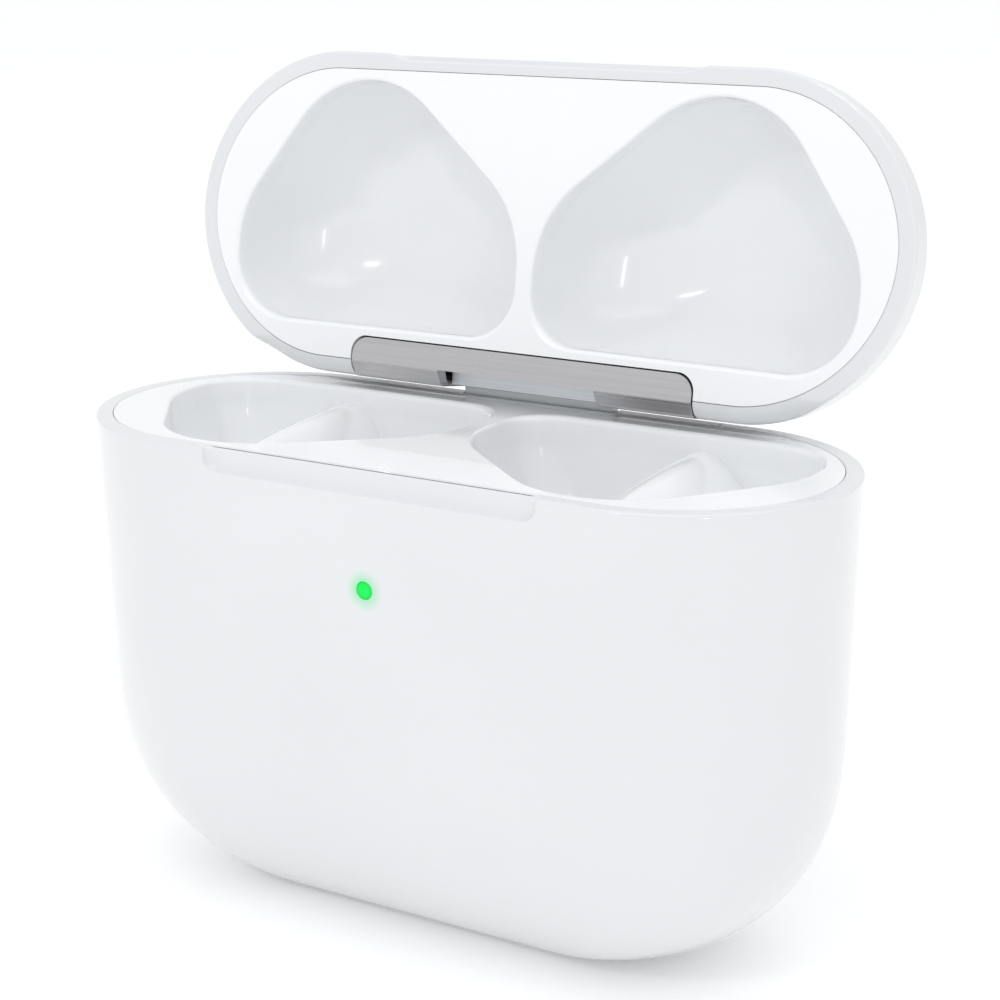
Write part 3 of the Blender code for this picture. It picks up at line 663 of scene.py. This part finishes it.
def make_bracket(mat):
    """The case's half of the hinge: a bar over the tray's edge, on a foot with two screw holes."""
    corners = ((8.5, 28.1), (10.45, 28.1), (10.45, 33.6), (10.1, 34.15), (9.4, 34.45), (8.75, 34.3),
               (8.2, 33.9), (8.15, 32.05), (9.75, 32.05), (9.75, 29.7), (8.5, 29.7))
    bm = along_x(bent(corners, (0, 0, 0.3, 0.3, 0.3, 0.3, 0.3, 0.12, 0.2, 0, 0)), -CENTRE_HALF, CENTRE_HALF)
    foot = block(-9.5, 9.5, 8.5, 9.0, 25.0, 29.5)
    screw_x, screw_z = SCREW_PLACE
    holes = [spun(((0.5, 7.8), (0.5, 9.8)), (side * screw_x, 0.0, screw_z), "y", 32) for _, side in SIDES]
    bm = carve(carve(bm, [foot], "UNION"), [bore(BORE_R, 8.0), *holes])
    place("hinge_bar", bm, mat, "case", "hinge_metal", "hinge_bracket", rounding=0.05)


def make_hinge_pin(mat):
    """The rod that the lid turns on."""
    tip, end = PIN_R - 0.12, PIN_HALF - 0.12
    profile = ((tip, -PIN_HALF), (PIN_R, -end), (PIN_R, end), (tip, PIN_HALF))
    bm = spun(profile, (0.0, AXIS_Y, AXIS_Z), "x", 40)
    place("hinge_pin_rod", bm, mat, "case", "hinge_metal", "hinge_pin")


# ---------------------------------------------------------------- light, button, port, pins
def make_light(mat):
    """The light window: a rounded face, a stem and a flange inside the case."""
    face = [(math.sin(math.radians(a)), 1 - math.cos(math.radians(a))) for a in (0, 30, 60, 90)]
    profile = [(LED_R - 0.12 + 0.12 * out, LED_FRONT + 0.12 * back) for out, back in face]
    profile = [(0.25, LED_FRONT - 0.02)] + profile + [(LED_R, -9.25), (0.9, -9.25), (0.9, -8.95)]
    bm = spun(profile, (0.0, 0.0, LED_Z), "y")
    place("light_window", bm, mat, "case", "light_guide", "led_light_guide")


def make_button(mat):
    """A round cap with a dished face and a soft rim, flanged inside the case."""
    face = 10.45
    profile = [(0.05, face - 0.16), (0.8, face - 0.15), (1.4, face - 0.11), (1.8, face - 0.04)]
    for a in (0, 20, 40, 60, 80, 90):
        out, back = math.sin(math.radians(a)), 1 - math.cos(math.radians(a))
        profile.append((BUTTON_R - BUTTON_ROUND + BUTTON_ROUND * out, face - BUTTON_ROUND * back))
    profile += [(BUTTON_R, 8.95), (2.95, 8.95), (2.95, 8.45)]
    bm = spun(profile, (0.0, 0.0, BUTTON_Z), "y", 96)
    place("rear_button_cap", bm, mat, "button", "white_shell", "pairing_button")


def make_port(metal, black):
    """The socket in the base: a collar, a sleeve and a blade with slots for its contacts."""
    collar = [port_ring(0.02, 0.15), port_ring(0.06, 0.07), port_ring(0.14, 0.05), port_ring(0.42, 0.05),
              port_ring(0.5, 0.07), port_ring(0.55, 0.14), port_ring(0.55, 0.8), port_ring(0.02, 0.8)]
    place("port_collar", skin(collar, closed=True), metal, "case", "hinge_metal", "port_trim_ring")
    sleeve = [port_ring(0.0, 6.0), port_ring(0.0, 1.05), port_ring(0.06, 0.97), port_ring(0.24, 0.95),
              port_ring(0.3, 1.0), port_ring(0.3, 6.3)]
    place("port_sleeve", skin(sleeve), metal, "case", "hinge_metal", "port_shell")
    tongue = block(-3.35, 3.35, -0.35, 0.35, 1.3, 5.85)
    bevel_where(tongue, lambda c: c.z < 2.0, 0.15, 5)
    slots = [block(-3.4 + 0.5 * i, -3.2 + 0.5 * i, side * 0.35 - 0.04, side * 0.35 + 0.04, 1.75, 5.0)
             for i in range(1, 13) for side in (-1, 1)]
    place("port_blade", carve(tongue, slots), black, "case", "black_resin", "port_tongue")


def make_pins(mat):
    """Charging pins with domed tips, two under each stem."""
    for word, side in SIDES:
        for x, end in zip(pin_places(side), ("inner", "outer")):
            turns = [math.radians(a) for a in (0, 15, 30, 45, 60, 75, 90)]
            dome = [(CONTACT_R * math.sin(a) + 0.01, 9.95 + 0.35 * math.cos(a)) for a in turns]
            dome.append((CONTACT_R, 8.0))
            bm = spun(dome, (x, STEM_CENTRE[1], 0.0), "z", 40)
            name = f"{word}_{end}"
            place(f"charging_pin_{name}", bm, mat, f"pin_{name}", "gold_plate", f"contact_pin_{name}")


# ---------------------------------------------------------------- materials
class Finish:
    """A Principled material that its maker builds up on Object coordinates."""

    def __init__(self, name, color, roughness, metallic=0.0):
        self.mat = bpy.data.materials.new(name)
        self.mat.use_nodes = True
        self.nodes = self.mat.node_tree.nodes
        self.links = self.mat.node_tree.links
        self.shader = self.nodes["Principled BSDF"]
        self.shader.inputs["Base Color"].default_value = (*color, 1.0)
        self.shader.inputs["Roughness"].default_value = roughness
        self.shader.inputs["Metallic"].default_value = metallic
        self.coords = self.nodes.new("ShaderNodeTexCoord").outputs["Object"]

    def stretched(self, scale):
        mapping = self.nodes.new("ShaderNodeMapping")
        mapping.inputs["Scale"].default_value = scale
        self.links.new(self.coords, mapping.inputs["Vector"])
        return mapping.outputs["Vector"]

    def noise(self, scale, detail=3.0, vector=None):
        node = self.nodes.new("ShaderNodeTexNoise")
        node.inputs["Scale"].default_value = scale
        node.inputs["Detail"].default_value = detail
        self.links.new(vector or self.coords, node.inputs["Vector"])
        return node.outputs["Fac"]

    def between(self, value, low, high, source=(0.3, 0.7)):
        node = self.nodes.new("ShaderNodeMapRange")
        ends = {"From Min": source[0], "From Max": source[1], "To Min": low, "To Max": high}
        for name, number in ends.items():
            node.inputs[name].default_value = number
        self.links.new(value, node.inputs["Value"])
        return node.outputs["Result"]

    def color(self, value, dark, light):
        node = self.nodes.new("ShaderNodeMix")
        node.data_type = "RGBA"
        node.inputs["A"].default_value = (*dark, 1.0)
        node.inputs["B"].default_value = (*light, 1.0)
        self.links.new(value, node.inputs["Factor"])
        self.links.new(node.outputs["Result"], self.shader.inputs["Base Color"])

    def rough(self, value):
        self.links.new(value, self.shader.inputs["Roughness"])

    def bump(self, value, strength, distance_mm):
        node = self.nodes.new("ShaderNodeBump")
        node.inputs["Strength"].default_value = strength
        node.inputs["Distance"].default_value = distance_mm * MM
        self.links.new(value, node.inputs["Height"])
        self.links.new(node.outputs["Normal"], self.shader.inputs["Normal"])

    def set(self, **values):
        for name, value in values.items():
            self.shader.inputs[name.replace("_", " ")].default_value = value


def gloss_white(name, dark, light, rough_low, rough_high):
    """Moulded white plastic: faint flow in its colour, handling haze and a fine orange peel."""
    made = Finish(name, light, rough_low)
    made.color(made.between(made.noise(70.0, 2.0), 0.0, 1.0), dark, light)
    made.rough(made.between(made.noise(260.0, 5.0), rough_low, rough_high))
    made.bump(made.noise(1400.0, 2.0), 0.12, 0.01)
    made.set(IOR=1.5, Coat_Weight=0.5, Coat_Roughness=0.04)
    return made


def shell_white():
    """The shells' white, with the status light's green glow painted into it round the light window."""
    made = gloss_white("shell_gloss_white", (0.722, 0.732, 0.742), (0.742, 0.752, 0.762), 0.10, 0.17)
    # painted light: the status light's green glow on the plastic round it, mixed into the base colour
    centre = made.nodes.new("ShaderNodeVectorMath")
    centre.operation = "DISTANCE"
    centre.inputs[1].default_value = (0.0, (CENTRE_Y - HALF_DEPTH) * MM, LED_Z * MM)
    made.links.new(made.coords, centre.inputs[0])
    glow = made.between(centre.outputs["Value"], 0.75, 0.0, (0.5 * MM, 1.3 * MM))
    painted_glow_mix = made.nodes.new("ShaderNodeMix")
    painted_glow_mix.data_type = "RGBA"
    painted_glow_mix.inputs["B"].default_value = (0.2, 0.75, 0.38, 1.0)
    white = made.shader.inputs["Base Color"].links[0].from_socket
    made.links.new(glow, painted_glow_mix.inputs["Factor"])
    made.links.new(white, painted_glow_mix.inputs["A"])
    made.links.new(painted_glow_mix.outputs["Result"], made.shader.inputs["Base Color"])
    return made.mat


def liner_white():
    """The liners' white, painted brighter than the shells' white so that the shaded wells and cavities come
    out lighter.
    """
    return gloss_white("liner_gloss_white", (0.868, 0.877, 0.886), (0.888, 0.897, 0.906), 0.12, 0.2).mat


def brushed(name, dark, light, rough=(0.26, 0.38), grain=1.0):
    """Metal brushed along x: long fine streaks in its colour, roughness and relief."""
    made = Finish(name, light, rough[0], 1.0)
    streaks = made.noise(900.0, 6.0, made.stretched((0.06, 9.0 * grain, 9.0 * grain)))
    made.color(made.between(streaks, 0.0, 1.0), dark, light)
    made.rough(made.between(streaks, *rough))
    made.bump(streaks, 0.15, 0.01)
    made.set(Anisotropic=0.35)
    return made.mat


def plain_metal(name, dark, light, rough):
    """Unbrushed metal: faint blotches, uneven polish and a fine grain."""
    made = Finish(name, light, rough[0], 1.0)
    blotch = made.noise(500.0, 4.0)
    made.color(made.between(blotch, 0.0, 1.0), dark, light)
    made.rough(made.between(made.noise(1500.0, 3.0), *rough))
    made.bump(made.noise(4000.0, 2.0), 0.1, 0.01)
    return made.mat


def mottled(name, dark, light, rough, scale=900.0, relief=0.25):
    """A matt or satin finish, grained in its colour, roughness and relief."""
    made = Finish(name, light, rough[0])
    grain = made.noise(scale, 4.0)
    made.color(made.between(grain, 0.0, 1.0), dark, light)
    made.rough(made.between(grain, *rough))
    made.bump(made.noise(scale * 4, 2.0), relief, 0.02)
    return made.mat


def lit_green():
    """A frosted light window: brightest at its middle, darker green towards its edge."""
    made = Finish("lit_window_green", (0.0, 0.3, 0.05), 0.25)
    made.set(Specular_IOR_Level=0.2)
    centre = made.nodes.new("ShaderNodeVectorMath")
    centre.operation = "DISTANCE"
    centre.inputs[1].default_value = (0.0, (CENTRE_Y - HALF_DEPTH + 0.1) * MM, LED_Z * MM)
    made.links.new(made.coords, centre.inputs[0])
    made.color(made.between(centre.outputs["Value"], 0.0, 1.0, (0.2 * MM, 0.6 * MM)), (0.01, 0.34, 0.06),
               (0.0, 0.22, 0.03))
    bright = made.between(centre.outputs["Value"], 0.9, 0.72, (0.15 * MM, 0.6 * MM))
    made.links.new(bright, made.shader.inputs["Emission Strength"])
    made.rough(made.between(made.noise(3000.0, 2.0), 0.2, 0.35))
    made.shader.inputs["Emission Color"].default_value = (0.0, 0.75, 0.06, 1.0)
    return made.mat


def wound_copper():
    """Enamelled wire laid in close turns round the coil's middle."""
    made = Finish("wound_copper", (0.75, 0.36, 0.18), 0.3, 1.0)
    low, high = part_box("charge_coil")
    middle = (low + high) / 2
    away = made.nodes.new("ShaderNodeVectorMath")
    away.operation = "DISTANCE"
    away.inputs[1].default_value = middle
    made.links.new(made.coords, away.inputs[0])
    ripple = made.nodes.new("ShaderNodeMath")
    ripple.operation = "SINE"
    turns = made.nodes.new("ShaderNodeMath")
    turns.operation = "MULTIPLY"
    turns.inputs[1].default_value = 2 * math.pi / (0.2 * MM)
    made.links.new(away.outputs["Value"], turns.inputs[0])
    made.links.new(turns.outputs["Value"], ripple.inputs[0])
    wire = made.between(ripple.outputs["Value"], 0.0, 1.0, (-1.0, 1.0))
    made.color(wire, (0.35, 0.13, 0.05), (0.8, 0.42, 0.22))
    made.rough(made.between(wire, 0.5, 0.25, (0.0, 1.0)))
    made.bump(wire, 0.4, 0.05)
    return made.mat


def dress_inner_parts():
    """Finishes for the sealed parts, which keep their frame shapes."""
    finishes = {
        "steel": plain_metal("bright_steel", (0.5, 0.5, 0.5), (0.68, 0.68, 0.67), (0.22, 0.36)),
        "nickel": plain_metal("nickel_plate", (0.52, 0.51, 0.48), (0.7, 0.69, 0.66), (0.18, 0.32)),
        "board": mottled("solder_mask_green", (0.02, 0.13, 0.06), (0.04, 0.24, 0.11), (0.35, 0.55)),
        "foil": plain_metal("dark_laminate_foil", (0.06, 0.06, 0.07), (0.16, 0.16, 0.17), (0.35, 0.5)),
        "foam": mottled("grey_foam", (0.08, 0.08, 0.08), (0.24, 0.24, 0.24), (0.85, 0.98), 2500.0, 0.8),
        "film": mottled("amber_film", (0.38, 0.17, 0.03), (0.56, 0.28, 0.06), (0.25, 0.42)),
        "ferrite": mottled("ferrite_sheet", (0.04, 0.04, 0.045), (0.1, 0.1, 0.11), (0.55, 0.75),
                           1800.0, 0.4),
        "resin": mottled("black_resin", (0.02, 0.02, 0.02), (0.045, 0.045, 0.048), (0.4, 0.6), 1500.0, 0.3),
        "copper": wound_copper(),
        "light": lit_green(),
    }
    worn_by = {
        "steel": ("hinge_screw_left", "hinge_screw_right", "hinge_spring", "shield_can"),
        "nickel": ("catch_magnet_left", "catch_magnet_right", "bud_magnet_left", "bud_magnet_right",
                   "lid_magnet_left", "lid_magnet_right", "lid_sensor_magnet"),
        "board": ("main_board", "port_board"),
        "foil": ("battery_cell_left", "battery_cell_right"),
        "foam": ("battery_pad_left", "battery_pad_right"),
        "film": ("battery_flex", "button_flex"),
        "ferrite": ("coil_shield",),
        "resin": ("button_switch", "hall_sensor", "contact_carrier_left", "contact_carrier_right"),
        "copper": ("charge_coil",),
        "light": ("status_led",),
    }
    for finish, nodes in worn_by.items():
        for node in nodes:
            materials = frame["nodes"][node].data.materials
            materials.clear()
            materials.append(finishes[finish])
    return finishes


# ---------------------------------------------------------------- stage, light, camera
STAGE_SIZE = 8.0                               # in metres


def make_floor():
    """A wide pale floor that gives off a little light, so that it stays even far off."""
    bm = bmesh.new()
    bmesh.ops.create_grid(bm, x_segments=1, y_segments=1, size=STAGE_SIZE)
    mesh = bpy.data.meshes.new("floor")
    bm.to_mesh(mesh)
    bm.free()
    floor = bpy.data.objects.new("floor", mesh)
    bpy.context.scene.collection.objects.link(floor)
    made = Finish("pale_floor", (0.95, 0.95, 0.95), 0.6)
    made.set(Specular_IOR_Level=0.2, Emission_Color=(1.0, 1.0, 1.0, 1.0), Emission_Strength=0.13)
    mesh.materials.append(made.mat)


def lamp(name, place_mm, aim_mm, size_mm, power):
    """A soft rectangular light that faces a point of the case."""
    data = bpy.data.lights.new(name, "AREA")
    data.shape = "RECTANGLE"
    data.size, data.size_y = (s * MM for s in size_mm)
    data.energy = power
    obj = bpy.data.objects.new(name, data)
    bpy.context.scene.collection.objects.link(obj)
    obj.location = Vector(place_mm) * MM
    obj.rotation_euler = (Vector(aim_mm) - Vector(place_mm)).to_track_quat("-Z", "Y").to_euler()


# each lamp's name, place, aim, size and power, in mm and watts
LAMPS = (
    ("overhead_softbox", (60.0, -40.0, 420.0), (0.0, 0.0, 20.0), (420.0, 420.0), 0.36),
    ("front_strip", (-60.0, -300.0, 260.0), (0.0, 0.0, 42.0), (60.0, 10.0), 0.11),
    ("side_strip", (230.0, -240.0, 60.0), (0.0, 0.0, 42.0), (12.0, 90.0), 0.025),
)
STUDIO_COLOUR = (0.975, 0.985, 1.0, 1.0)
STUDIO_STRENGTH = 0.92


def make_lights():
    """An even studio sky and the lamps."""
    world = bpy.data.worlds.new("studio")
    bpy.context.scene.world = world
    world.use_nodes = True
    sky = world.node_tree.nodes["Background"]
    sky.inputs["Color"].default_value = STUDIO_COLOUR
    sky.inputs["Strength"].default_value = STUDIO_STRENGTH
    for settings in LAMPS:
        lamp(*settings)


VIEW_ANGLES = (31.17, 15.73, -0.38)            # azimuth, elevation and roll in degrees
VIEW_TARGET = (2.95, 27.35)                    # x, z of the point that the camera faces
VIEW_DISTANCE = 134.96
LENS = 78.85
SENSOR = 36.0


def make_camera():
    """The view from the front and the right, a little from above, into both wells."""
    azimuth, elevation, roll = (math.radians(a) for a in VIEW_ANGLES)
    back = Vector((math.sin(azimuth) * math.cos(elevation), -math.cos(azimuth) * math.cos(elevation),
                   math.sin(elevation)))
    level = Vector((math.cos(azimuth), math.sin(azimuth), 0.0))
    rise = back.cross(level)
    right = math.cos(roll) * level + math.sin(roll) * rise
    up = math.cos(roll) * rise - math.sin(roll) * level
    target = Vector((VIEW_TARGET[0], CENTRE_Y, VIEW_TARGET[1])) * MM
    data = bpy.data.cameras.new("view")
    data.lens, data.sensor_width = LENS, SENSOR
    data.clip_start, data.clip_end = 0.005, 20.0
    camera = bpy.data.objects.new("view", data)
    bpy.context.scene.collection.objects.link(camera)
    turn = Matrix((right, up, back)).transposed().to_4x4()
    camera.matrix_world = Matrix.Translation(target + back * VIEW_DISTANCE * MM) @ turn
    bpy.context.scene.camera = camera
    bpy.context.scene.view_settings.view_transform = "Standard"


def main():
    make_camera()
    make_lights()
    make_floor()
    inner = dress_inner_parts()
    white, liner = shell_white(), liner_white()
    leaf_metal = brushed("brushed_leaf_steel", (0.50, 0.49, 0.50), (0.56, 0.55, 0.56))
    bar_metal = brushed("satin_bar_steel", (0.62, 0.64, 0.66), (0.78, 0.80, 0.82), (0.4, 0.55), 0.4)
    port_metal = plain_metal("port_steel", (0.45, 0.45, 0.45), (0.62, 0.62, 0.62), (0.2, 0.35))
    gold = plain_metal("gold_plate", (0.75, 0.52, 0.2), (0.9, 0.68, 0.3), (0.15, 0.3))
    make_case_shell(white)
    make_lid_shell(white)
    make_tray(liner)
    make_lid_liner(liner)
    make_leaf(leaf_metal)
    make_bracket(bar_metal)
    make_hinge_pin(port_metal)
    make_light(inner["light"])
    make_button(white)
    make_port(port_metal, inner["resin"])
    make_pins(gold)


main()
